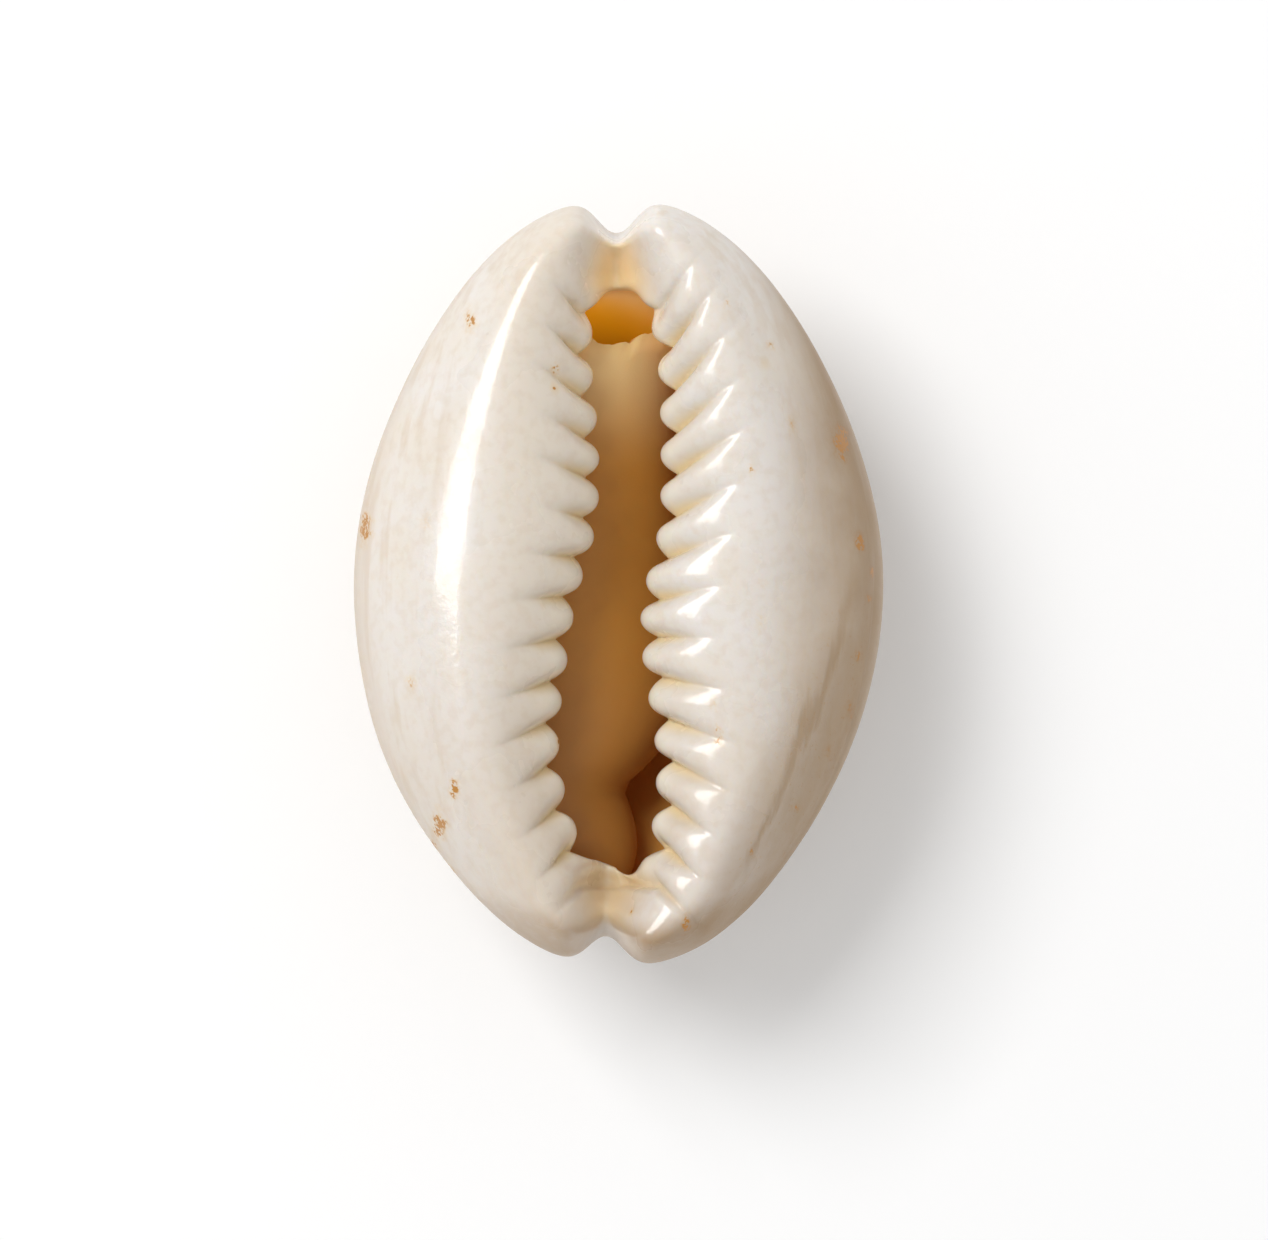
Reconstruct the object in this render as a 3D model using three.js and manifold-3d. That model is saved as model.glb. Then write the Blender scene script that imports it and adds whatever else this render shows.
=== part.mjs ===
// A small cowrie shell lying on its back, with its toothed aperture facing up.
// Units are millimetres. +X points to the outer lip, +Y to the spire end, +Z up.
// The origin is the middle of the small flat spot on the back that the shell rests on.
//
// The shell is one hollow vessel. Its wall runs as a net of rings round the aperture:
// from the resting spot out to the margin, over the base, round the toothed lips and
// back inside to the floor of the chamber. The earlier whorl lies inside as a thin roll
// that hangs from the inner lip and is open, with a ragged rim, at the spire end.
import * as THREE from "three";
import { mergeVertices } from "three/addons/utils/BufferGeometryUtils.js";
import Module from "manifold-3d";

const { PI, abs, cos, exp, floor, max, min, round, sign, sin, sqrt, tanh } = Math;

// Driving dimensions
const halfWidth = 8.8; // origin to the margin at either side
const height = 12.4; // resting spot to the crest of the lips
const wall = 1.2; // thickness of the back
const chamber = { halfWidth: 7.2, halfLength: 10.5 }; // the hollow where it is widest

// Aperture
const apertureReach = 9.8; // origin to either end of the aperture
const gapHalf = 1.02; // half the gap between the teeth at mid length
const gapFlares = [
  { extra: 0.57, at: -5.7, spread: 3.2 }, // wider towards the front end
  { extra: 0.13, at: 7.3, spread: 2.2 },
];
const sway = { spire: 0.4, front: 0.46, at: 0.6, over: 1.5, fade: 7.8 }; // a shallow S

// The outline is a little more pointed than an ellipse, and the sides bulge a little more
// towards the front end. Rings squarer than maxSquare keep their corners round.
const pointed = 0.05;
const bulge = { outer: 0.14, inner: 0.34, at: -6.8, spread: 3.6 };
const maxSquare = 2.6;

// The callus is a low ridge that borders the base along the outer lip's side.
const callus = { out: 0.2, at: -3.5, spread: 7 };

// Teeth: rounded ridges across both lips, with narrow grooves between them. On each lip
// the ridges fan out about a middle, by so much for each millimetre from the aperture.
// The grooves run out with their reach and die away over a length at the spire end.
// Past the middle of the shell they get shorter.
const teeth = {
  pitch: 1.34,
  sharpness: 2.2, // how narrow the grooves are
  outerLip: {
    depth: 0.6,
    shift: 0.17,
    middle: -2.0,
    fan: 0.1,
    reach: 3.3,
    fading: 1.4,
    spireEnd: 8.9,
    dying: 0.8,
  },
  innerLip: {
    depth: 0.5,
    shift: 0.07,
    middle: -0.5,
    fan: 0.085,
    reach: 2.9,
    fading: 2.2,
    spireEnd: 10.2,
    dying: 2.6,
  },
  frontEnd: -9.6,
  runOut: 0.6, // how far the last groove runs on past either end
  shorter: { by: 0.5, from: 5, full: 9.5 },
};

// Canals: the grooves that lead out of the aperture at its two ends. shelf is how far a
// canal's floor reaches in over the aperture, and the span says where it does.
const canals = {
  spire: { x: -0.08, spread: 0.82, notch: 1.1, drop: 1.7, from: 8.6, full: 10.6, shelf: 0.15 },
  front: { x: -0.42, spread: 0.8, notch: 0.9, drop: 2.2, from: 8.4, full: 10.4, shelf: 0.55 },
};
const shelfSpan = { from: 8.6, full: 9.6, until: 10.6, gone: 12.2 };

// The rings of the wall, from the resting spot to the chamber's floor. Each has its half
// width and half length, its level at the sides and at the ends, the squareness of its
// outline, how far it follows the aperture's sway and flare, how much the canals cut it,
// how far the callus pushes it out and how far its spire end is pulled in. rows is the
// number of mesh rows up to the next ring, and the fine rows carry the teeth.
const ring = (width, length, side, end, square, follow, canal, ridge, pull, rows, fine) => ({
  width,
  length,
  side,
  end,
  square,
  follow,
  canal,
  ridge,
  pull,
  rows,
  fine: fine === "fine",
});
const rings = [
  ring(0, 2.2, 0, 0, 2, 0, 0, 0, 0, 1), // resting spot
  ring(2.0, 3.4, 0, 0, 2, 0, 0, 0, 0, 2),
  ring(4.9, 7.2, 1.15, 1.4, 2, 0, 0, 0, 0, 2), // back
  ring(7.6, 10.6, 3.6, 4.2, 2, 0, 0, 0, 0, 2),
  ring(halfWidth, 12.2, 7.1, 7.7, 2, 0, 0.55, 0, 0, 1), // margin
  ring(8.6, 12.55, 8.45, 8.9, 2, 0.02, 0.85, -1, 0, 1),
  ring(8.05, 12.6, 9.6, 9.95, 2, 0.05, 1, 1, 0, 2), // shoulder
  ring(6.4, 12.2, 11.4, 11.1, 2.1, 0.25, 1, 0, 0, 2), // base
  ring(4.2, 11.6, height, 11.7, 2.5, 0.6, 1, 0, 0, 2, "fine"), // crest of the lips
  ring(2.4, 10.9, 11.9, 11.3, 3.6, 1, 1, 0, 0, 2, "fine"),
  ring(1.45, 10.25, 11.05, 10.6, 6, 1, 0.9, 0, 0, 2, "fine"),
  ring(gapHalf, apertureReach, 10.1, 9.9, 8, 1, 0.8, 0, 0, 1, "fine"), // aperture's edge
  ring(1.4, 9.7, 9.3, 8.9, 7, 1, 0.5, 0, 0, 1, "fine"),
  ring(3.7, 9.95, 8.9, 7.9, 3.5, 0.4, 0, 0, 0.6, 2), // ceiling of the chamber
  ring(chamber.halfWidth, chamber.halfLength, 6.7, 6.6, 2.2, 0, 0, 0, 1.9, 2),
  ring(6.3, 9.3, 3.6, 4.8, 2, 0, 0, 0, 1.9, 2),
  ring(3.4, 5.8, wall + 0.35, wall + 0.9, 2, 0, 0, 0, 0.8, 1),
  ring(0, 2.6, wall, wall, 2, 0, 0, 0, 0, 0), // floor of the chamber
];
const aroundFine = 216; // points round a ring with teeth; the others have half as many

// The roll of the earlier whorl, which folds into the inner lip's pillar in front
const roll = {
  rim: 7.85,
  rimDip: 0.5, // how far the rim curves back towards its lowest place
  tip: -10.9,
  outerSide: 2.1, // how far it reaches under the outer lip
  taper: { from: -3.8, bend: 0.208 }, // how it draws in before the fold
  fold: -6.9,
  pillar: { from: 0.2, to: 0.95, over: 2.6 }, // the pillar's outer side past the fold
  bedded: 0.4, // how deep its other side lies in the wall
  wallLength: 11, // half the length over which the wall's side curves in
  top: 7.9,
  topAtRim: 8.8,
  topRisesFrom: -1,
  bottom: 2.4,
  rise: { from: 5, bend: 0.11 }, // how the bottom lifts towards both ends
  skin: 0.45,
  blunt: 14, // how long it keeps its full size towards the tip
  rows: 10,
  around: 26,
};

const bell = (x, spread) => exp(-((x / spread) ** 2));
const ramp = (x, from, to) => {
  const t = min(1, max(0, (x - from) / (to - from)));
  return t * t * (3 - 2 * t);
};

// Where the middle of the aperture lies, and how far it flares, at a place along it.
const midline = (y) => {
  const reach = y > sway.at ? sway.spire : sway.front;
  return reach * tanh((y - sway.at) / sway.over) * exp(-((y / sway.fade) ** 4));
};
const flare = (y) =>
  gapFlares.reduce((sum, { extra, at, spread }) => sum + extra * bell(y - at, spread), 0);

function ringPoint(r, angle) {
  const c = cos(angle);
  const s = sin(angle);
  const along = r.length * s;
  const fuller = (c > 0 ? bulge.outer : bulge.inner) * bell(along - bulge.at, bulge.spread);
  const swell = 1 - pointed * sin(2 * angle) ** 2 + fuller / halfWidth;
  const half = r.width * swell + r.follow * flare(along);
  const outline = sign(c) * max(0, 1 - abs(s) ** r.square) ** (1 / min(r.square, maxSquare));
  const ridge = r.ridge * callus.out * max(0, c) * bell(along - callus.at, callus.spread);
  const x = outline * half + r.follow * midline(along) + ridge;

  const canal = s > 0 ? canals.spire : canals.front;
  const cut = r.canal * bell(x - canal.x, canal.spread);
  const reach = abs(along);
  const notch = canal.notch * cut * ramp(reach, canal.full, canal.full + 2);
  const { from, full, until, gone } = shelfSpan;
  const shelf = canal.shelf * cut * ramp(reach, from, full) * (1 - ramp(reach, until, gone));
  const drop = canal.drop * cut * ramp(reach, canal.from, canal.full);
  const z = r.side + (r.end - r.side) * s ** 4 - drop;
  const pulled = r.pull * max(0, s) ** 2;
  return new THREE.Vector3(x, along - pulled - sign(s) * (notch + shelf), z);
}

// How deep a groove between two teeth is at a place on the lips.
function grooveDepth(x, y) {
  const away = max(0, abs(x - midline(y)) - gapHalf - flare(y));
  const lip = x > midline(y) ? teeth.outerLip : teeth.innerLip;
  const along = lip.middle + (y - lip.middle) / (1 + lip.fan * away);
  const phase = (along - lip.shift) / teeth.pitch;
  const fromCrest = 2 * abs(phase - round(phase)); // 0 on a ridge, 1 in a groove
  const inRow =
    ramp(along, teeth.frontEnd - teeth.runOut, teeth.frontEnd) *
    (1 - ramp(along, lip.spireEnd - lip.dying, lip.spireEnd + teeth.runOut));
  const { by, from, full } = teeth.shorter;
  const reach = lip.reach * (1 - by * ramp(abs(along), from, full));
  const fade = (1 - ramp(away, 0, reach)) ** lip.fading;
  return lip.depth * fromCrest ** teeth.sharpness * inRow * fade;
}

// Moves each point of the fine rows into the wall where a groove runs.
function cutTeeth(rows, isFine) {
  const before = rows.map((row) => row.map((p) => p.clone()));
  rows.forEach((row, i) => {
    if (!isFine[i]) return;
    row.forEach((p, k) => {
      const n = row.length;
      const next = before[i][(k + 1) % n].clone().sub(before[i][(k + n - 1) % n]);
      const up = before[i + 1][k].clone().sub(before[i - 1][k]);
      const inward = up.cross(next).normalize();
      p.addScaledVector(inward, grooveDepth(p.x, p.y));
    });
  });
}

// The wall: every column of points is a smooth curve through the rings at one angle.
function wallRows() {
  const last = rings.length - 1;
  const stations = [];
  rings.forEach(({ rows, fine }, i) => {
    for (let k = 0; k < rows; k++) stations.push({ t: (i + k / rows) / last, fine });
  });
  stations.push({ t: 1, fine: false });

  const columns = [];
  for (let k = 0; k < aroundFine; k++) {
    const angle = (2 * PI * k) / aroundFine;
    const curve = new THREE.CatmullRomCurve3(rings.map((r) => ringPoint(r, angle)));
    columns.push(stations.map(({ t }) => curve.getPoint(t)));
  }
  const rows = stations.map((_, i) => columns.map((column) => column[i]));
  const isFine = stations.map(({ fine }) => fine);
  cutTeeth(rows, isFine);
  return rows.map((row, i) => (isFine[i] ? row : row.filter((_, k) => k % 2 === 0)));
}

// How far the rim of the roll stands out along Y, at a place across it and round it.
const raggedRim = (x, angle) =>
  roll.rimDip * tanh(((x + 0.2) / 1.1) ** 2) +
  0.04 * sin(8 * angle + 1) +
  0.03 * sin(13 * angle);

// How far the roll and its pillar reach towards the outer lip.
function outerSideOf(y) {
  const { taper, fold, pillar } = roll;
  if (y > fold) return roll.outerSide - taper.bend * max(0, taper.from - y) ** 2;
  const swell = sin((min(1, (fold - y) / pillar.over) * PI) / 2);
  return pillar.from + (pillar.to - pillar.from) * swell;
}

// A point of the roll's outer or inner face, at a share of the way from its tip.
function rollPoint(share, angle, inset) {
  const start = roll.tip + inset;
  const y = start + share * (roll.rim - start);
  const wallSide = -chamber.halfWidth * sqrt(1 - (y / roll.wallLength) ** 2) - roll.bedded;
  const outerSide = outerSideOf(y);
  const bottom = roll.bottom + roll.rise.bend * max(0, abs(y) - roll.rise.from) ** 2;
  const rise = ramp(y, roll.topRisesFrom, roll.rim);
  const top = roll.top + (roll.topAtRim - roll.top) * rise;
  const size = sqrt(1 - (1 - share) ** roll.blunt);
  const halfX = (outerSide - wallSide) / 2 - inset;
  const halfZ = (top - bottom) / 2 - inset;
  const x = (outerSide + wallSide) / 2 + halfX * size * cos(angle);
  const z = (top + bottom) / 2 + halfZ * size * sin(angle);
  return new THREE.Vector3(x, y + share ** 12 * raggedRim(x, angle), z);
}

// The roll: out along its outer face from the tip to the rim, and back along its inner face.
function rollRows() {
  const row = (share, inset) =>
    Array.from({ length: roll.around }, (_, k) =>
      rollPoint(share, (2 * PI * k) / roll.around, inset),
    );
  const shares = Array.from({ length: roll.rows + 1 }, (_, i) => (i / roll.rows) ** 1.3);
  const outer = shares.map((share) => row(share, 0));
  const inner = shares.map((share) => row(share, roll.skin));
  return [...inner, ...outer.reverse()];
}

const wasm = await Module();
wasm.setup();

// One closed solid from rows of points that go round it. A row has as many points as its
// neighbour or half as many, and the first and last rows close on themselves.
function closedSolid(rows) {
  const spots = [];
  const starts = rows.map((row) => {
    const start = spots.length / 3;
    row.forEach((p) => spots.push(p.x, p.y, p.z));
    return start;
  });
  const faces = [];
  for (let i = 0; i + 1 < rows.length; i++) {
    const n = max(rows[i].length, rows[i + 1].length);
    const corner = (row, k) => starts[row] + floor(((k % n) * rows[row].length) / n);
    for (let k = 0; k < n; k++) {
      const [a, b] = [corner(i, k), corner(i, k + 1)];
      const [c, d] = [corner(i + 1, k), corner(i + 1, k + 1)];
      faces.push(a, b, c, b, d, c);
    }
  }
  const sheet = new THREE.BufferGeometry();
  sheet.setAttribute("position", new THREE.Float32BufferAttribute(spots, 3));
  sheet.setIndex(faces);
  const merged = mergeVertices(sheet, 1e-4);
  const corners = [];
  for (let i = 0; i < merged.index.count; i += 3) {
    const face = [0, 1, 2].map((k) => merged.index.getX(i + k));
    if (new Set(face).size === 3) corners.push(...face);
  }
  const vertProperties = merged.getAttribute("position").array;
  const triVerts = Uint32Array.from(corners);
  return new wasm.Manifold(new wasm.Mesh({ numProp: 3, vertProperties, triVerts }));
}

function geometryOf(solid) {
  const { vertProperties, triVerts } = solid.getMesh();
  const geometry = new THREE.BufferGeometry();
  geometry.setAttribute("position", new THREE.BufferAttribute(vertProperties, 3));
  geometry.setIndex(new THREE.BufferAttribute(triVerts, 1));
  return geometry;
}

const shellMaterial = new THREE.MeshStandardMaterial({
  color: 0xe9dfd0,
  roughness: 0.25,
  metalness: 0,
});

const body = closedSolid(wallRows());
const whorl = closedSolid(rollRows());
const shell = new THREE.Mesh(geometryOf(body.add(whorl)), shellMaterial);
shell.name = "shell";

const cowrie = new THREE.Group();
cowrie.name = "cowrie_shell";
cowrie.add(shell);
export default cowrie;
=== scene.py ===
# Cowrie shell: the finished look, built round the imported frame.
# Shapes are worked out in millimetres and become metres when a mesh is made.
import math
from types import SimpleNamespace

import bmesh
import bpy
import numpy as np
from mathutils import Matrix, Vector


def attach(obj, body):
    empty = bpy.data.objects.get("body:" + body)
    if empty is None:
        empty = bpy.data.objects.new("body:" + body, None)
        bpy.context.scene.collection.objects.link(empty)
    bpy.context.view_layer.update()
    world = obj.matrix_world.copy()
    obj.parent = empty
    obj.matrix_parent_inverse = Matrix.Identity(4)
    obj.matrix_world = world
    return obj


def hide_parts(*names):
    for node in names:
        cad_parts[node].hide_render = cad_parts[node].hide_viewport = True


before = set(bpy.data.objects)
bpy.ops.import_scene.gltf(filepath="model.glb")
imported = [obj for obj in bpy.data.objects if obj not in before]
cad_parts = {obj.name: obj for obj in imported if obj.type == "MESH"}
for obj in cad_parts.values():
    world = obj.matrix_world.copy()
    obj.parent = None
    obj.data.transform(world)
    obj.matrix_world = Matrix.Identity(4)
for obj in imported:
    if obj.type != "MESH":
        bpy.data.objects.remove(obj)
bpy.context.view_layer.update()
mm = 0.001
print("frame loaded")


# shared small tools

def bell(x, spread):
    return np.exp(-((x / spread) ** 2))


def ramp(x, start, end):
    t = np.clip((x - start) / (end - start), 0, 1)
    return t * t * (3 - 2 * t)


def smoothThrough(rings, counts):
    # every column of points as one smooth curve through the rings
    steps = np.linalg.norm(np.diff(rings, axis=0), axis=2).mean(axis=1) ** 0.6
    n = len(rings)
    slope = np.diff(rings, axis=0) / steps[:, None, None]
    system = np.eye(n)
    right = np.zeros_like(rings)
    for i in range(1, n - 1):
        system[i, i - 1 : i + 2] = steps[i - 1], 2 * (steps[i - 1] + steps[i]), steps[i]
        right[i] = 6 * (slope[i] - slope[i - 1])
    bend = np.linalg.solve(system, right.reshape(n, -1)).reshape(rings.shape)
    rows = []
    stations = []
    for i, count in enumerate(counts):
        for u in np.arange(count) / count:
            h = steps[i]
            a, b = 1 - u, u
            rows.append(
                a * rings[i]
                + b * rings[i + 1]
                + ((a**3 - a) * bend[i] + (b**3 - b) * bend[i + 1]) * h * h / 6
            )
            stations.append(i + u)
    return np.array(rows), np.array(stations)


# the wall: rings round the aperture, from the resting spot to the chamber's floor

wall = {
    "halfWidth": 8.8,
    "height": 12.4,
    "thickness": 1.2,
    "chamberHalfWidth": 7.2,
    "chamberHalfLength": 10.5,
    "apertureReach": 9.8,
    "gapHalf": 1.02,  # half the gap between the teeth
    "gapFlares": ((0.57, -5.7, 3.2), (0.13, 7.3, 2.2)),  # extra width, where, spread
    "swaySpire": 0.4,  # how far the aperture sways to the outer lip behind
    "swayFront": 0.46,  # and to the inner lip in front
    "swayAt": 0.6,
    "swayOver": 1.5,
    "swayFade": 7.8,
    "pointed": 0.05,  # how much more pointed the outline is than an ellipse
    "roundest": 2.6,  # rings squarer than this keep their corners round
    "bulgeOuter": 0.14,  # the sides are fuller towards the front
    "bulgeInner": 0.34,
    "bulgeAt": -6.8,
    "bulgeSpread": 3.6,
    "callus": 0.2,  # low ridge that borders the base beside the outer lip
    "callusLine": (7.9, 0.25, 0.0122, 0.9),  # its greatest x, slope and bend, and from which y
    "callusAt": -3.5,
    "callusSpread": 7,
    "callusLip": (0.13, 0.35),  # height and spread of the ridge along that line
    "callusHollow": (0.14, 0.8, 0.5),  # depth, distance and spread of the hollow outside it
    "columns": 880,
}
canals = {
    "spire": {"x": -0.08, "spread": 0.82, "notch": 1.1, "drop": 1.7, "start": 8.6, "full": 10.6,
              "shelf": 0.15},  # shelf: how far a canal's floor reaches inwards
    "front": {"x": -0.42, "spread": 0.8, "notch": 0.9, "drop": 2.2, "start": 8.4, "full": 10.4,
              "shelf": 0.55},
}
shelfStart, shelfFull, shelfUntil, shelfGone = 8.6, 9.6, 10.6, 12.2
# half width, half length, level at the sides and ends, squareness, how far the ring
# follows the aperture, how much the canals and the callus shape it, how far its spire
# end is pulled in, rows to the next
ringKeys = ("width", "length", "side", "end", "square", "follow", "canal", "ridge", "pull", "rows")
ringTable = (
    (0, 2.2, 0, 0, 2, 0, 0, 0, 0, 3),  # resting spot
    (2.0, 3.4, 0, 0, 2, 0, 0, 0, 0, 5),
    (4.9, 7.2, 1.15, 1.4, 2, 0, 0, 0, 0, 6),  # back
    (7.6, 10.6, 3.6, 4.2, 2, 0, 0, 0, 0, 6),
    (wall["halfWidth"], 12.2, 7.1, 7.7, 2, 0, 0.55, 0, 0, 3),  # margin
    (8.6, 12.55, 8.45, 8.9, 2, 0.02, 0.85, -1, 0, 3),
    (8.05, 12.6, 9.6, 9.95, 2, 0.05, 1, 1, 0, 5),  # shoulder
    (6.4, 12.2, 11.4, 11.1, 2.1, 0.25, 1, 0, 0, 8),  # base
    (4.2, 11.6, wall["height"], 11.7, 2.5, 0.6, 1, 0, 0, 12),  # crest of the lips
    (2.4, 10.9, 11.9, 11.3, 3.6, 1, 1, 0, 0, 10),
    (1.45, 10.25, 11.05, 10.6, 6, 1, 0.9, 0, 0, 9),
    (wall["gapHalf"], wall["apertureReach"], 10.1, 9.9, 8, 1, 0.8, 0, 0, 7),  # aperture's edge
    (1.4, 9.7, 9.3, 8.9, 7, 1, 0.5, 0, 0, 7),
    (3.7, 9.95, 8.9, 7.9, 3.5, 0.4, 0, 0, 0.6, 4),  # ceiling
    (wall["chamberHalfWidth"], wall["chamberHalfLength"], 6.7, 6.6, 2.2, 0, 0, 0, 1.9, 4),
    (6.3, 9.3, 3.6, 4.8, 2, 0, 0, 0, 1.9, 4),
    (3.4, 5.8, wall["thickness"] + 0.35, wall["thickness"] + 0.9, 2, 0, 0, 0, 0.8, 3),
    (0, 2.6, wall["thickness"], wall["thickness"], 2, 0, 0, 0, 0, 0),  # floor
)
# a point's station is its place among the rings
edgeRing = 11
whorlStation = 20  # the roll lies past the last ring


def midline(y):
    reach = np.where(y > wall["swayAt"], wall["swaySpire"], wall["swayFront"])
    turn = np.tanh((y - wall["swayAt"]) / wall["swayOver"])
    return reach * turn * np.exp(-((y / wall["swayFade"]) ** 4))


def flare(y):
    return sum(extra * bell(y - at, spread) for extra, at, spread in wall["gapFlares"])


def ringPoints(r, angle):
    c, s = np.cos(angle), np.sin(angle)
    along = r["length"] * s
    pointed = 1 - wall["pointed"] * np.sin(2 * angle) ** 2
    fuller = np.where(c > 0, wall["bulgeOuter"], wall["bulgeInner"])
    fuller = fuller * bell(along - wall["bulgeAt"], wall["bulgeSpread"]) / wall["halfWidth"]
    half = r["width"] * (pointed + fuller) + r["follow"] * flare(along)
    corner = 1 / min(r["square"], wall["roundest"])
    outline = np.maximum(0, 1 - np.abs(s) ** r["square"]) ** corner
    ridge = wall["callus"] * np.maximum(0, c) * bell(along - wall["callusAt"], wall["callusSpread"])
    x = np.sign(c) * outline * half + r["follow"] * midline(along) + r["ridge"] * ridge
    y = along - r["pull"] * np.maximum(0, s) ** 2
    z = r["side"] + (r["end"] - r["side"]) * s**4
    for name, end in (("spire", 1), ("front", -1)):
        canal = canals[name]
        reach = np.where(s * end > 0, np.abs(along), 0)
        cut = r["canal"] * bell(x - canal["x"], canal["spread"])
        overGap = ramp(reach, shelfStart, shelfFull) * (1 - ramp(reach, shelfUntil, shelfGone))
        y -= end * canal["shelf"] * cut * overGap
        y -= end * canal["notch"] * cut * ramp(reach, canal["full"], canal["full"] + 2)
        z -= canal["drop"] * cut * ramp(reach, canal["start"], canal["full"])
    return np.stack([x, y, z], axis=1)


def wallRows():
    count = wall["columns"]
    turn = np.arange(count) * 2 * np.pi / count
    angle = turn - 0.12 * np.sin(2 * turn)  # columns closer together at mid length
    rings = [dict(zip(ringKeys, row)) for row in ringTable]
    points = np.array([ringPoints(r, angle) for r in rings])
    # one more ring past each seam keeps the surface level across it
    across = (count // 2 - np.arange(count)) % count
    points = np.concatenate([points[1][across][None], points, points[-2][across][None]])
    counts = [0] + [r["rows"] for r in rings[:-1]] + [0]
    rows, stations = smoothThrough(points, counts)
    rows = np.concatenate([rows, points[-2][None]])
    stations = np.append(stations, len(rings)) - 1
    return rows, stations


# the roll of the earlier whorl, which ends in front as the inner lip's pillar

roll = {
    "rim": 7.85,
    "rimDip": 0.5,  # how much further the rim reaches a millimetre from its lowest place
    "rimMiddle": -0.2,
    "rimWidth": 1.1,
    "chips": ((0.05, 23, 1), (0.04, 37, 0), (0.03, 61, 2)),  # depth, how many round, turn
    "tip": -10.9,
    "outerSide": 2.1,
    "taperFrom": -3.8,
    "taperBend": 0.208,
    "fold": -6.9,  # where the roll ends and the pillar begins
    "pillar": 0.2,  # the pillar's outer side at the fold
    "pillarSwell": 0.75,
    "pillarOver": 2.6,
    "wallLength": 11,  # half the length over which its other side follows the wall
    "bedded": 0.4,  # how deep it lies in the wall
    "topAtRim": 8.8,
    "top": 7.9,
    "topRisesFrom": -1,
    "bottom": 2.4,
    "rise": (5, 0.11),  # from how far out the bottom lifts, and how much
    "skin": 0.45,
    "blunt": 14,
    "rows": 90,
    "around": 120,
}


def raggedRim(x, angle):
    dip = roll["rimDip"] * np.tanh(((x - roll["rimMiddle"]) / roll["rimWidth"]) ** 2)
    return dip + sum(depth * np.sin(many * angle + turn) for depth, many, turn in roll["chips"])


def rollOuterSide(y):
    if y > roll["fold"]:
        return roll["outerSide"] - roll["taperBend"] * max(0, roll["taperFrom"] - y) ** 2
    share = min(1, (roll["fold"] - y) / roll["pillarOver"])
    return roll["pillar"] + roll["pillarSwell"] * math.sin(share * math.pi / 2)


def rollPoints(share, angle, inset):
    start = roll["tip"] + inset
    y = start + share * (roll["rim"] - start)
    wallSide = -wall["chamberHalfWidth"] * math.sqrt(1 - (y / roll["wallLength"]) ** 2) - roll["bedded"]
    outerSide = rollOuterSide(y)
    riseFrom, riseBend = roll["rise"]
    bottom = roll["bottom"] + riseBend * max(0, abs(y) - riseFrom) ** 2
    top = roll["top"] + (roll["topAtRim"] - roll["top"]) * ramp(y, roll["topRisesFrom"], roll["rim"])
    size = math.sqrt(1 - (1 - share) ** roll["blunt"])
    halfX = (outerSide - wallSide) / 2 - inset
    halfZ = (top - bottom) / 2 - inset
    x = (outerSide + wallSide) / 2 + halfX * size * np.cos(angle)
    z = (top + bottom) / 2 + halfZ * size * np.sin(angle)
    return np.stack([x, y + share**12 * raggedRim(x, angle), z], axis=1)


def rollRows():
    angle = np.arange(roll["around"]) * 2 * np.pi / roll["around"]
    shares = np.linspace(0, 1, roll["rows"] // 2) ** 1.3
    outer = [rollPoints(share, angle, 0) for share in shares]
    inner = [rollPoints(share, angle, roll["skin"]) for share in shares]
    return np.array(inner + outer[::-1])


# rust spots on the glaze: place in millimetres, size, and how strong each one is

rustSpots = (
    (-4.8, 8.5, 0.16, 0.8), (3.5, 9.0, 0.10, 0.5), (4.9, 7.7, 0.12, 0.5), (5.6, 5.1, 0.15, 0.4),
    (7.3, 4.6, 0.24, 1.0), (7.9, 1.3, 0.13, 1.0), (4.6, 0.05, 0.10, 0.5), (4.3, 3.6, 0.10, 0.6),
    (3.2, -5.0, 0.16, 0.6), (2.2, -11.1, 0.16, 0.7), (-5.85, -7.9, 0.20, 1.0), (-5.3, -6.7, 0.14, 0.9),
    (-6.7, -3.3, 0.13, 0.5), (-8.35, 1.8, 0.22, 0.9), (-2.0, 6.9, 0.13, 0.6), (-5.6, -9.6, 0.18, 0.8),
    (3.05, -3.9, 0.12, 0.5), (4.5, -1.3, 0.14, 0.4), (-6.3, 2.0, 0.2, 0.35),
    (8.35, 0.3, 0.09, 0.8), (8.25, -0.5, 0.09, 0.7), (7.9, -2.4, 0.1, 0.7), (7.6, -4.2, 0.11, 0.8),
    (6.9, -5.6, 0.1, 0.7), (5.8, -7.4, 0.09, 0.7), (4.3, -8.7, 0.09, 0.6), (-6.1, -8.7, 0.13, 0.8),
)
rustLength = 2.2  # how much longer a spot is than it is wide


def rustOn(points):
    # how close each point is to a rust spot, one at its middle
    x, y = points[..., 0], points[..., 1]
    blotch = 1 + 0.35 * np.sin(9 * x + 5 * y) * np.sin(7 * y - 4 * x)
    total = np.zeros(x.shape)
    for atX, atY, size, strength in rustSpots:
        reach = np.hypot(x - atX, (y - atY) / rustLength) / (0.75 * size * blotch)
        total = np.maximum(total, strength * np.exp(-(reach**2) / 2))
    return total


# one mesh from both sheets, with what the teeth and the finish need to know

def sheetFaces(rowCount, columnCount, start):
    i, k = np.meshgrid(np.arange(rowCount - 1), np.arange(columnCount), indexing="ij")
    j = (k + 1) % columnCount
    a, b = i * columnCount + k, i * columnCount + j
    return np.stack([a, b, b + columnCount, a + columnCount], axis=-1).reshape(-1, 4) + start


def beyondCallus(points):
    # how far outside the callus line each point is
    atX, slope, bend, fromY = wall["callusLine"]
    past = np.maximum(0, fromY - points[..., 1])
    return points[..., 0] - atX + (slope + bend * past) * past


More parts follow.
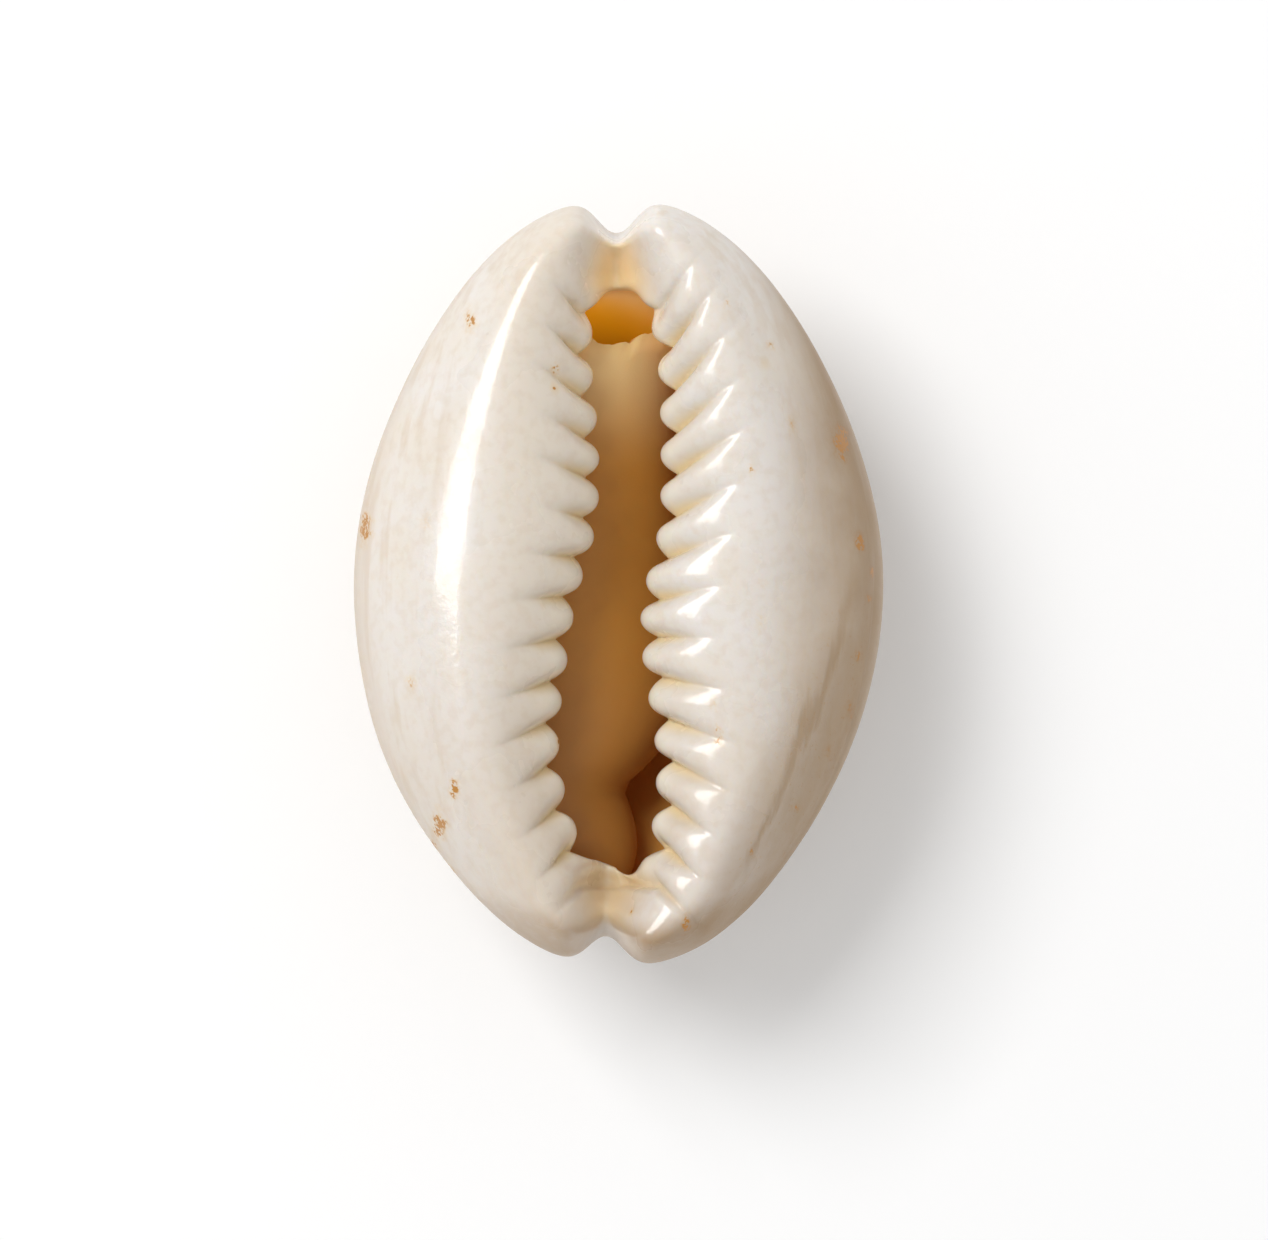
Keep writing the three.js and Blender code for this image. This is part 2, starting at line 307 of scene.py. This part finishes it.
def raiseCallus(points, stations):
    # lifts the callus along its line, and returns how much of it each point is on
    x, y, z = points[..., 0], points[..., 1], points[..., 2]
    beyond = beyondCallus(points)
    top = ramp(z, 6.5, 8.5) * ramp(x, 2, 3.5) * (y < 8) * ramp(-y, -1, 2)
    onBase = (stations[:, None] > 3.5) & (stations[:, None] < 9.5)
    lipHeight, lipSpread = wall["callusLip"]
    depth, distance, spread = wall["callusHollow"]
    lift = lipHeight * bell(beyond, lipSpread) - depth * bell(beyond - distance, spread)
    points[..., 2] += onBase * top * lift
    return onBase * top * (0.55 * ramp(beyond, -1.6, 0) + 0.2 * ramp(beyond, -0.1, 0.6))


def shellMesh():
    wallPart, stations = wallRows()
    callus = raiseCallus(wallPart, stations)
    wallPart[..., 2] = np.maximum(wallPart[..., 2], 0)  # flat where the shell rests
    rollPart = rollRows()
    x, y = wallPart[..., 0], wallPart[..., 1]
    fromMidline = x - midline(y)
    station = np.repeat(stations, wall["columns"]).reshape(x.shape)
    # each attribute's values on the wall, and its one value on the roll
    attributes = {
        "away": ((np.abs(fromMidline) - wall["gapHalf"] - flare(y)) * mm, 0),
        "side": (np.where(fromMidline > 0, 1, -1), 0),
        "toothed": (ramp(station, 6, 7.2) * (1 - ramp(station, edgeRing + 1, edgeRing + 2)), 0),
        "inside": (ramp(station, edgeRing - 0.1, edgeRing + 1.7), 1),
        "station": (station, whorlStation),
        "callus": (callus, 0),
        "rust": (rustOn(wallPart) * (station > 4), 0),
    }
    spots = np.concatenate([wallPart.reshape(-1, 3), rollPart.reshape(-1, 3)])
    faces = np.concatenate([
        sheetFaces(*wallPart.shape[:2], 0),
        sheetFaces(*rollPart.shape[:2], x.size),
    ])
    mesh = bpy.data.meshes.new("cowrie")
    mesh.from_pydata((spots * mm).tolist(), [], faces.tolist())
    for name, (onWall, onRoll) in attributes.items():
        values = np.append(onWall, np.full(rollPart[..., 0].size, onRoll)).astype(np.float32)
        mesh.attributes.new(name, "FLOAT", "POINT").data.foreach_set("value", values)
    weld = bmesh.new()
    weld.from_mesh(mesh)
    bmesh.ops.remove_doubles(weld, verts=weld.verts, dist=0.0005 * mm)
    bmesh.ops.dissolve_degenerate(weld, edges=weld.edges, dist=0.0002 * mm)
    weld.to_mesh(mesh)
    weld.free()
    return mesh


# node helpers

def addNode(tree, kind, inputs=None, **settings):
    node = tree.nodes.new(kind)
    for name, value in settings.items():
        setattr(node, name, value)
    for key, value in (inputs or {}).items():
        if isinstance(value, bpy.types.NodeSocket):
            tree.links.new(value, node.inputs[key])
        else:
            node.inputs[key].default_value = value
    return node


def calc(tree, operation, *values):
    return addNode(tree, "ShaderNodeMath", dict(enumerate(values)), operation=operation).outputs[0]


def product(tree, value, *others):
    for other in others:
        value = calc(tree, "MULTIPLY", value, other)
    return value


def weighted(tree, terms):
    # the sum of values, each times its weight
    total = 0
    for value, weight in terms:
        total = calc(tree, "MULTIPLY_ADD", value, weight, total)
    return total


def smoothStep(tree, value, start, end, low=0, high=1):
    inputs = {"Value": value, "From Min": start, "From Max": end, "To Min": low, "To Max": high}
    node = addNode(tree, "ShaderNodeMapRange", inputs, interpolation_type="SMOOTHSTEP")
    return node.outputs[0]


def newTree(name, kind, inputs, outputs):
    tree = bpy.data.node_groups.new(name, kind)
    for socketName, socketType in inputs:
        tree.interface.new_socket(socketName, in_out="INPUT", socket_type="NodeSocket" + socketType)
    for socketName, socketType in outputs:
        tree.interface.new_socket(socketName, in_out="OUTPUT", socket_type="NodeSocket" + socketType)
    return tree, tree.nodes.new("NodeGroupInput").outputs


# teeth: grooves cut between ridges, across both lips

teeth = {
    "Outer Depth": 0.6 * mm,
    "Inner Depth": 0.5 * mm,
    "Pitch": 1.34 * mm,
    "Sharpness": 2.2,  # how narrow the grooves are at the aperture
    "Narrowing": 1.6,  # and how much narrower they get by their far ends
    "Outer Fan": 0.1 / mm,  # how far the ridges spread for each metre from the aperture
    "Inner Fan": 0.085 / mm,
    "Outer Middle": -2.0 * mm,  # where a ridge runs straight across
    "Inner Middle": -0.5 * mm,
    "Outer Reach": 3.3 * mm,
    "Inner Reach": 2.9 * mm,
    "Outer Fading": 1.4,  # how soon a groove gets shallow on its way
    "Inner Fading": 2.2,
    "Outer Shift": 0.17 * mm,
    "Inner Shift": 0.07 * mm,
    "Outer Spire End": 8.9 * mm,
    "Inner Spire End": 10.2 * mm,
    "Outer Spire Fade": 0.8 * mm,
    "Inner Spire Fade": 2.6 * mm,
    "Front End": -9.6 * mm,
    "Run Out": 0.6 * mm,  # how far the last groove runs on past either end
    "Short Near Ends": 0.35,  # how much shorter the grooves are at the ends of the rows
    "Short From": 5 * mm,
    "Shortest From": 9.5 * mm,
    "Unevenness": 0.15,
    "Seed": 4,
}


def teethTree():
    numbers = [(name, "Int" if name == "Seed" else "Float") for name in teeth]
    sockets = [("Geometry", "Geometry"), *numbers, ("Enamel", "Material")]
    tree, given = newTree("cutTeeth", "GeometryNodeTree", sockets, [("Geometry", "Geometry")])

    def stored(name):
        return addNode(tree, "GeometryNodeInputNamedAttribute", {"Name": name}).outputs[0]

    place = addNode(tree, "GeometryNodeInputPosition").outputs[0]
    y = addNode(tree, "ShaderNodeSeparateXYZ", {0: place}).outputs[1]
    away = calc(tree, "MAXIMUM", stored("away"), 0)
    onOuter = calc(tree, "GREATER_THAN", stored("side"), 0)

    def bySide(name):
        onInner = given["Inner " + name]
        more = calc(tree, "SUBTRACT", given["Outer " + name], onInner)
        return calc(tree, "MULTIPLY_ADD", more, onOuter, onInner)

    # how far along the lips a place is once the fan of the ridges is taken out
    middle = bySide("Middle")
    spread = calc(tree, "MULTIPLY_ADD", bySide("Fan"), away, 1)
    along = calc(tree, "ADD", calc(tree, "DIVIDE", calc(tree, "SUBTRACT", y, middle), spread), middle)
    wander = addNode(tree, "ShaderNodeTexNoise", {
        "W": calc(tree, "MULTIPLY_ADD", onOuter, 7, calc(tree, "DIVIDE", along, given["Pitch"])),
        "Scale": 0.45, "Detail": 1.0}, noise_dimensions="1D").outputs[0]
    wander = calc(tree, "MULTIPLY", calc(tree, "SUBTRACT", wander, 0.5), given["Unevenness"])
    phase = calc(tree, "DIVIDE", calc(tree, "SUBTRACT", along, bySide("Shift")), given["Pitch"])
    phase = calc(tree, "ADD", phase, wander)
    fromCrest = calc(tree, "ABSOLUTE", calc(tree, "SUBTRACT", phase, calc(tree, "ROUND", phase)))

    # each groove has its own reach
    grooveNumber = calc(tree, "MULTIPLY_ADD", onOuter, 100, calc(tree, "FLOOR", phase))
    uneven = addNode(tree, "FunctionNodeRandomValue", {
        2: calc(tree, "SUBTRACT", 1, given["Unevenness"]),
        3: calc(tree, "ADD", 1, given["Unevenness"]),
        "ID": grooveNumber, "Seed": given["Seed"]}, data_type="FLOAT").outputs[1]
    nearEnd = smoothStep(tree, calc(tree, "ABSOLUTE", along), given["Short From"], given["Shortest From"])
    shorter = calc(tree, "SUBTRACT", 1, calc(tree, "MULTIPLY", nearEnd, given["Short Near Ends"]))
    fade = smoothStep(tree, away, 0, product(tree, bySide("Reach"), uneven, shorter), 1, 0)
    narrower = calc(tree, "SUBTRACT", 1, fade)
    sharpness = calc(tree, "MULTIPLY_ADD", narrower, given["Narrowing"], given["Sharpness"])
    groove = calc(tree, "POWER", calc(tree, "MULTIPLY", fromCrest, 2), sharpness)
    firstSpire = calc(tree, "SUBTRACT", bySide("Spire End"), bySide("Spire Fade"))
    lastSpire = calc(tree, "ADD", bySide("Spire End"), given["Run Out"])
    lastFront = calc(tree, "SUBTRACT", given["Front End"], given["Run Out"])
    cut = product(tree, groove, calc(tree, "POWER", fade, bySide("Fading")),
                  smoothStep(tree, along, firstSpire, lastSpire, 1, 0),
                  smoothStep(tree, along, lastFront, given["Front End"]), stored("toothed"))

    normal = addNode(tree, "GeometryNodeInputNormal").outputs[0]
    depth = product(tree, cut, bySide("Depth"), -1)
    move = addNode(tree, "ShaderNodeVectorMath", {0: normal, "Scale": depth}, operation="SCALE")
    kept = addNode(tree, "GeometryNodeStoreNamedAttribute",
                   {"Geometry": given["Geometry"], "Name": "groove", "Value": cut})
    moved = addNode(tree, "GeometryNodeSetPosition",
                    {"Geometry": kept.outputs[0], "Offset": move.outputs[0]})
    smooth = addNode(tree, "GeometryNodeSetShadeSmooth", {"Geometry": moved.outputs[0]})
    real = addNode(tree, "GeometryNodeRealizeInstances", {"Geometry": smooth.outputs[0]})
    finished = addNode(tree, "GeometryNodeSetMaterial",
                       {"Geometry": real.outputs[0], "Material": given["Enamel"]})
    addNode(tree, "NodeGroupOutput", {0: finished.outputs[0]})
    return tree


def growShell(enamel):
    rough = bpy.data.objects.new("cowrieBlank", shellMesh())
    bpy.context.scene.collection.objects.link(rough)
    tree = teethTree()
    cutter = rough.modifiers.new("teeth", "NODES")
    cutter.node_group = tree
    values = {**teeth, "Enamel": enamel}
    for socket in tree.interface.items_tree:
        if socket.in_out == "INPUT" and socket.name in values:
            cutter[socket.identifier] = values[socket.name]
    evaluated = rough.evaluated_get(bpy.context.evaluated_depsgraph_get())
    mesh = bpy.data.meshes.new_from_object(evaluated)
    bpy.data.objects.remove(rough)
    shell = bpy.data.objects.new("cowrie", mesh)
    bpy.context.scene.collection.objects.link(shell)
    return shell


# finish

enamelLook = {
    "cream": (0.75, 0.71, 0.67),
    # the warm cream serves both warm clouds and painted shade on the inner lip's slope
    "warmToneAndShade": (0.71, 0.62, 0.50),
    "margin": (0.60, 0.47, 0.34),
    # dark brown painted shade on the outer side, the front lobe and along the crease
    "shadeBrown": (0.295, 0.16, 0.04),
    # this duller cream is painted shade on the outer lip's side, and a random tone on the back
    "shadeAndBackCream": (0.60, 0.50, 0.40),
    "grooveTan": (0.84, 0.66, 0.35),
    "canalAmber": (0.95, 0.70, 0.36),
    "frontAmber": (0.72, 0.54, 0.31),
    "lipCream": (0.98, 0.92, 0.79),
    "chamberAmber": (0.72, 0.36, 0.08),
    # amber of the deep pocket, partly painted light through the thin wall
    "pocketAmber": (0.97, 0.58, 0.03),
    "glow": (0.31, 0.115, 0.002),
    "whorlTan": (0.89, 0.65, 0.31),
    "whorlBrown": (0.67, 0.305, 0.055),
    "whorlFront": (0.54, 0.24, 0.05),
    "rust": (0.47, 0.20, 0.022),
    "rustHalo": (0.99, 0.76, 0.40),
}
# small rust specks scattered at random, besides the larger spots
specks = {"Spacing": 2.4 * mm, "Share": 0.2, "Size": 0.1 * mm}
# how much each thing raises the surface
enamelRelief = {"dents": 0.5, "grain": 0.1, "growth": 1.1, "pits": -0.5, "crease": -0.6, "crumbs": 0.15}


def mixColour(tree, factor, first, second, blend="MIX"):
    node = addNode(tree, "ShaderNodeMix", {"Factor": factor}, data_type="RGBA", blend_type=blend)
    for socket, value in ((node.inputs[6], first), (node.inputs[7], second)):
        if isinstance(value, bpy.types.NodeSocket):
            tree.links.new(value, socket)
        else:
            socket.default_value = (*value, 1)
    return node.outputs[2]


def addNoise(tree, place, fineness, detail):
    inputs = {"Vector": place, "Scale": fineness / mm, "Detail": detail}
    return addNode(tree, "ShaderNodeTexNoise", inputs).outputs[0]


def rustGroup():
    inputs = [("Vector", "Vector"), *((name, "Float") for name in specks)]
    tree, given = newTree("rustSpecks", "ShaderNodeTree", inputs, [("Core", "Float"), ("Halo", "Float")])
    perMetre = calc(tree, "DIVIDE", 1, given["Spacing"])
    wobble = addNode(tree, "ShaderNodeTexNoise", {
        "Vector": given["Vector"], "Scale": calc(tree, "MULTIPLY", perMetre, 6), "Detail": 2})
    away = addNode(tree, "ShaderNodeVectorMath", {0: wobble.outputs[1], 1: (0.5, 0.5, 0.5)},
                   operation="SUBTRACT")
    away = addNode(tree, "ShaderNodeVectorMath", {
        0: away.outputs[0], "Scale": calc(tree, "MULTIPLY", given["Size"], 1.6)}, operation="SCALE")
    place = addNode(tree, "ShaderNodeVectorMath", {0: given["Vector"], 1: away.outputs[0]})
    cells = addNode(tree, "ShaderNodeTexVoronoi", {"Vector": place.outputs[0], "Scale": perMetre})
    random = addNode(tree, "ShaderNodeSeparateColor", {0: cells.outputs["Color"]}).outputs
    chosen = calc(tree, "LESS_THAN", random[0], given["Share"])
    radius = calc(tree, "MULTIPLY", calc(tree, "MULTIPLY_ADD", random[1], 0.8, 0.3), given["Size"])
    distance = calc(tree, "MULTIPLY", cells.outputs["Distance"], given["Spacing"])
    core = smoothStep(tree, distance, calc(tree, "MULTIPLY", radius, 0.5), radius, 1, 0)
    halo = smoothStep(tree, distance, 0, calc(tree, "MULTIPLY", radius, 3.5), 1, 0)
    addNode(tree, "NodeGroupOutput", {
        0: calc(tree, "MULTIPLY", core, chosen), 1: calc(tree, "MULTIPLY", halo, chosen)})
    return tree


def readSkin(tree):
    # what the finish is worked out from: place in millimetres, stored values and noises
    place = addNode(tree, "ShaderNodeTexCoord").outputs["Object"]
    scaled = addNode(tree, "ShaderNodeVectorMath", {0: place, "Scale": 1 / mm}, operation="SCALE")
    along = addNode(tree, "ShaderNodeVectorMath", {0: place, 1: (1.0, 0.12, 1.0)}, operation="MULTIPLY")
    skin = SimpleNamespace(place=place)
    skin.x, skin.y, skin.z = addNode(tree, "ShaderNodeSeparateXYZ", {0: scaled.outputs[0]}).outputs
    for name in ("station", "inside", "groove", "callus", "rust"):
        setattr(skin, name, addNode(tree, "ShaderNodeAttribute", attribute_name=name).outputs["Fac"])
    skin.clouds = addNoise(tree, place, 0.35, 4)
    skin.backClouds = addNoise(tree, place, 0.3, 5)
    skin.dents = addNoise(tree, place, 0.9, 2)
    skin.streaks = addNoise(tree, along.outputs[0], 1.5, 3)
    skin.grain = addNoise(tree, place, 2.6, 3)
    skin.crumbs = addNoise(tree, place, 8, 2)
    skin.onSides = smoothStep(tree, skin.station, 6.2, 8.2, 1, 0)
    skin.onWhorl = calc(tree, "GREATER_THAN", skin.station, whorlStation - 1)
    skin.growth = calc(tree, "MULTIPLY", skin.streaks, skin.onSides)
    pitted = smoothStep(tree, skin.crumbs, 0.62, 0.72, 0, 0.55)
    skin.pits = calc(tree, "MULTIPLY", pitted, skin.callus)
    skin.crease = creaseLine(tree, skin)
    return skin


def creaseLine(tree, skin):
    # the wandering crease where the callus ends
    atX, slope, bend, fromY = wall["callusLine"]
    past = calc(tree, "MAXIMUM", calc(tree, "SUBTRACT", fromY, skin.y), 0)
    beyond = calc(tree, "MULTIPLY_ADD", calc(tree, "MULTIPLY_ADD", past, bend, slope), past,
                  calc(tree, "SUBTRACT", skin.x, atX))
    beyond = calc(tree, "MULTIPLY_ADD", calc(tree, "SUBTRACT", skin.streaks, 0.5), 1.4, beyond)
    return product(tree, smoothStep(tree, calc(tree, "ABSOLUTE", beyond), 0.03, 0.3, 1, 0),
                   smoothStep(tree, skin.y, -10.5, -8), smoothStep(tree, skin.y, -3, 1, 1, 0),
                   smoothStep(tree, skin.z, 7, 8.5))


def baseColour(tree, skin):
    # cream, warmer in clouds; warmer on the inner lip's slope by the aperture and duller on the outer lip's
    # side, both painted shade where the surface faces away from the lamps; duller towards the front too
    look = enamelLook
    # painted shade: warmer on the inner lip's slope, which faces away from the lamps
    innerLipShade = product(tree, smoothStep(tree, skin.x, -5.5, -3, 0, 0.7), smoothStep(tree, skin.x, -2, 1, 1, 0))
    warm = calc(tree, "MAXIMUM", smoothStep(tree, skin.clouds, 0.3, 0.75, 0, 0.6), innerLipShade)
    colour = mixColour(tree, warm, look["cream"], look["warmToneAndShade"])
    # painted shade: duller on the outer lip's side, which faces away from the lamps; also duller towards the
    # front
    sideShadeAndFront = calc(tree, "MAXIMUM", smoothStep(tree, skin.x, 3.6, 7.5, 0, 0.6),
                smoothStep(tree, skin.y, -9, 1, 0.35, 0))
    colour = mixColour(tree, sideShadeAndFront, colour, look["shadeAndBackCream"])
    colour = mixColour(tree, smoothStep(tree, skin.grain, 0.42, 0.7, 0, 0.22), colour, look["margin"])
    streaky = product(tree, smoothStep(tree, skin.streaks, 0.48, 0.68, 0, 0.4), skin.onSides)
    return mixColour(tree, streaky, colour, look["margin"])


def addMargin(tree, skin, colour):
    # browner towards the margin: the margin's own brown, reaching higher and deepened by painted shade on
    # the outer lip's side, which faces away from the lamps, and at the front, most of all on the inner lip's
    # lobe
    look = enamelLook
    slanted = calc(tree, "MULTIPLY_ADD", skin.y, -0.25, skin.x)
    onOuter = smoothStep(tree, slanted, -1, 6)
    nearFront = smoothStep(tree, skin.y, -12.4, -9.2, 1, 0)
    # the margin reaches higher on the outer lip's side and at the front, as painted shade
    reach = calc(tree, "MULTIPLY_ADD", onOuter, 1.45, 6.0)
    reach = calc(tree, "MULTIPLY_ADD", nearFront, calc(tree, "MULTIPLY_ADD", onOuter, -3.4, 5.2), reach)
    uneven = calc(tree, "MULTIPLY_ADD", skin.clouds, 1.2, calc(tree, "SUBTRACT", skin.station, 0.6))
    atMargin = smoothStep(tree, calc(tree, "SUBTRACT", uneven, reach), -1.9, 0.4, 1, 0)
    # past the callus line this brings in the band's own tan; before it, painted shade where the base turns
    # away from the lamps
    atMargin = calc(tree, "MAXIMUM", atMargin, skin.callus)
    # painted shade on the inner lip's front lobe, which is tilted away from the lamps
    frontLobeShade = product(tree, smoothStep(tree, skin.y, -12.2, -9.8, 0.7, 0),
                         smoothStep(tree, skin.x, -2, 0.6, 1, 0))
    # painted shade, strongest on the outer lip's side
    paintedShade = calc(tree, "MULTIPLY", onOuter, smoothStep(tree, skin.station, 3.4, 5.2, 0.3, 1))
    paintedShade = calc(tree, "MAXIMUM", paintedShade, frontLobeShade)
    back = mixColour(tree, smoothStep(tree, skin.backClouds, 0.35, 0.65), look["margin"], look["shadeAndBackCream"])
    back = mixColour(tree, smoothStep(tree, skin.grain, 0.45, 0.7, 0, 0.3), back, look["cream"])
    marginAndShade = mixColour(tree, paintedShade, back, look["shadeBrown"])
    colour = mixColour(tree, calc(tree, "MULTIPLY", atMargin, 0.92), colour, marginAndShade)
    # painted shade along the crease where the callus ends
    colour = mixColour(tree, calc(tree, "MULTIPLY", skin.crease, 0.4), colour, look["shadeBrown"])
    return mixColour(tree, skin.pits, colour, look["rustHalo"], "MULTIPLY")


def addLips(tree, skin, colour):
    # paler towards the aperture, tan in the grooves and amber in the canals
    look = enamelLook
    colour = mixColour(tree, smoothStep(tree, skin.station, 9.3, 10.8, 0, 0.8), colour, look["lipCream"])
    colour = mixColour(tree, smoothStep(tree, skin.groove, 0.1, 0.95, 0, 0.8), colour, look["grooveTan"])
    inCanal = product(tree,
                      smoothStep(tree, calc(tree, "ABSOLUTE", skin.y), 8.8, 9.8),
                      smoothStep(tree, calc(tree, "ABSOLUTE", skin.x), 0.4, 2.0, 1, 0),
                      smoothStep(tree, skin.z, 9.2, 11.4, 1, 0),
                      smoothStep(tree, skin.y, -10, 8, 0.85, 0.9),
                      smoothStep(tree, skin.station, 6.4, 8.2))
    amber = mixColour(tree, smoothStep(tree, skin.y, -8, 0), look["frontAmber"], look["canalAmber"])
    return mixColour(tree, inCanal, colour, amber)


def addRust(tree, skin, colour):
    rust = addNode(tree, "ShaderNodeGroup", node_tree=rustGroup())
    for key, value in specks.items():
        rust.inputs[key].default_value = value
    tree.links.new(skin.place, rust.inputs["Vector"])
    outside = calc(tree, "SUBTRACT", 1, skin.inside)
    spots = product(tree, skin.rust, smoothStep(tree, skin.crumbs, 0.36, 0.6, 0.5, 1.35))
    halo = calc(tree, "MAXIMUM", product(tree, rust.outputs["Halo"], 0.5, outside),
                smoothStep(tree, spots, 0.0, 0.95, 0, 0.9))
    core = calc(tree, "MAXIMUM", product(tree, rust.outputs["Core"], outside),
                smoothStep(tree, spots, 0.4, 0.75))
    colour = mixColour(tree, halo, colour, enamelLook["rustHalo"], "MULTIPLY")
    return mixColour(tree, core, colour, enamelLook["rust"])


def addChamber(tree, skin, deep, colour):
    # the chamber, and the earlier whorl inside it
    look = enamelLook
    # the deep pocket's bright amber is partly the chamber's own colour and partly painted light for light
    # that comes through the thin wall
    pocket = mixColour(tree, deep, look["canalAmber"], look["pocketAmber"])
    chamber = mixColour(tree, smoothStep(tree, skin.y, 7.0, 8.5), look["chamberAmber"], pocket)
    whorl = mixColour(tree, smoothStep(tree, skin.y, 3.5, 8.0), look["whorlBrown"], look["whorlTan"])
    whorl = mixColour(tree, smoothStep(tree, skin.y, -5, -1, 1, 0), whorl, look["whorlFront"])
    chamber = mixColour(tree, skin.onWhorl, chamber, whorl)
    return mixColour(tree, skin.inside, colour, chamber)


def pocketGlow(tree, skin, deep):
    # light that comes through the thin wall at the chamber's spire end
    inPocket = product(tree, smoothStep(tree, skin.y, 6.6, 9.2), skin.inside,
                       calc(tree, "SUBTRACT", 1, skin.onWhorl),
                       calc(tree, "MULTIPLY_ADD", deep, 0.5, 0.5))
    return mixColour(tree, inPocket, (0, 0, 0), enamelLook["glow"])


def enamelMaterial():
    material = bpy.data.materials.new("cowrieEnamel")
    material.use_nodes = True
    tree = material.node_tree
    tree.nodes.clear()
    skin = readSkin(tree)
    colour = baseColour(tree, skin)
    colour = addMargin(tree, skin, colour)
    colour = addLips(tree, skin, colour)
    colour = addRust(tree, skin, colour)
    # deeper into the pocket, for its brighter amber and glow
    deep = smoothStep(tree, calc(tree, "MULTIPLY_ADD", skin.x, -0.5, skin.station), 12.3, 14.2)
    colour = addChamber(tree, skin, deep, colour)
    relief = weighted(tree, [(getattr(skin, name), weight) for name, weight in enamelRelief.items()])
    bump = addNode(tree, "ShaderNodeBump", {"Height": relief, "Strength": 0.5, "Distance": 0.06 * mm})
    # less polish low on the sides, and none inside
    polish = product(tree, smoothStep(tree, skin.station, 5.6, 7.4, 0.12, 0.5),
                     calc(tree, "SUBTRACT", 1, skin.inside))
    rough = smoothStep(tree, skin.clouds, 0.3, 0.7, 0.5, 0.62)
    surface = addNode(tree, "ShaderNodeBsdfPrincipled", {
        "Base Color": colour,
        "Roughness": calc(tree, "MULTIPLY_ADD", polish, -0.56, rough),
        "Coat Weight": polish, "Coat Roughness": 0.06, "IOR": 1.45,
        "Emission Color": pocketGlow(tree, skin, deep), "Emission Strength": 1.0,
        "Subsurface Weight": 0.2, "Subsurface Scale": 1.2 * mm, "Subsurface Radius": (1.0, 0.55, 0.25),
        "Normal": bump.outputs[0], "Coat Normal": bump.outputs[0]})
    addNode(tree, "ShaderNodeOutputMaterial", {"Surface": surface.outputs[0]})
    return material


# floor, light and camera

stage = {
    "floorSize": 600 * mm,
    "floorColour": (0.96, 0.96, 0.96, 1),
    "floorRoughness": 0.9,
    "roomLight": 0.65,
    "lens": 135,
    "viewWidth": 42.15 * mm,  # what the camera sees across, at the shell's margin
    "marginLevel": 7.4 * mm,
    "centre": (0.5 * mm, -1.23 * mm),
    "lampsAimAt": (0, 0, 6),
}
# places and sizes in millimetres; a mirrored lamp only gives the glaze its highlights
softboxes = {
    "window": {"place": (-226, 114, 186), "size": (220, 132), "power": 0.72, "mirrored": True},
    "key": {"place": (-190, 165, 385), "size": (200, 200), "power": 1.1, "mirrored": False},
}


def addFloor():
    bpy.ops.mesh.primitive_plane_add(size=stage["floorSize"])
    floor = bpy.context.object
    floor.name = "floor"
    material = bpy.data.materials.new("paleFloor")
    material.use_nodes = True
    surface = material.node_tree.nodes["Principled BSDF"]
    surface.inputs["Base Color"].default_value = stage["floorColour"]
    surface.inputs["Roughness"].default_value = stage["floorRoughness"]
    surface.inputs["Specular IOR Level"].default_value = 0.1
    floor.data.materials.append(material)


def addSoftbox(name, place, size, power, mirrored):
    light = bpy.data.lights.new(name, "AREA")
    light.shape = "RECTANGLE"
    light.size, light.size_y = size[0] * mm, size[1] * mm
    light.energy = power
    lamp = bpy.data.objects.new(name, light)
    lamp.location = Vector(place) * mm
    aim = Vector(stage["lampsAimAt"]) - Vector(place)
    lamp.rotation_euler = aim.to_track_quat("-Z", "Y").to_euler()
    lamp.visible_glossy = mirrored
    lamp.visible_diffuse = not mirrored
    bpy.context.scene.collection.objects.link(lamp)


def addCamera():
    camera = bpy.data.cameras.new("camera")
    camera.lens = stage["lens"]
    camera.clip_start = 1 * mm
    distance = stage["viewWidth"] * stage["lens"] / camera.sensor_width
    seat = bpy.data.objects.new("camera", camera)
    seat.location = (*stage["centre"], stage["marginLevel"] + distance)
    bpy.context.scene.collection.objects.link(seat)
    bpy.context.scene.camera = seat


def addRoomLight():
    room = bpy.data.worlds.new("studio")
    room.use_nodes = True
    background = room.node_tree.nodes["Background"]
    background.inputs[0].default_value = (1, 1, 1, 1)
    background.inputs[1].default_value = stage["roomLight"]
    bpy.context.scene.world = room


enamel = enamelMaterial()
shell = growShell(enamel)
print("shell grown:", len(shell.data.vertices), "vertices")
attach(shell, "root")
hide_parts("shell")

addFloor()
addRoomLight()
addCamera()
for name, softbox in softboxes.items():
    addSoftbox(name, **softbox)
bpy.context.scene.view_settings.view_transform = "Standard"
print("stage set")
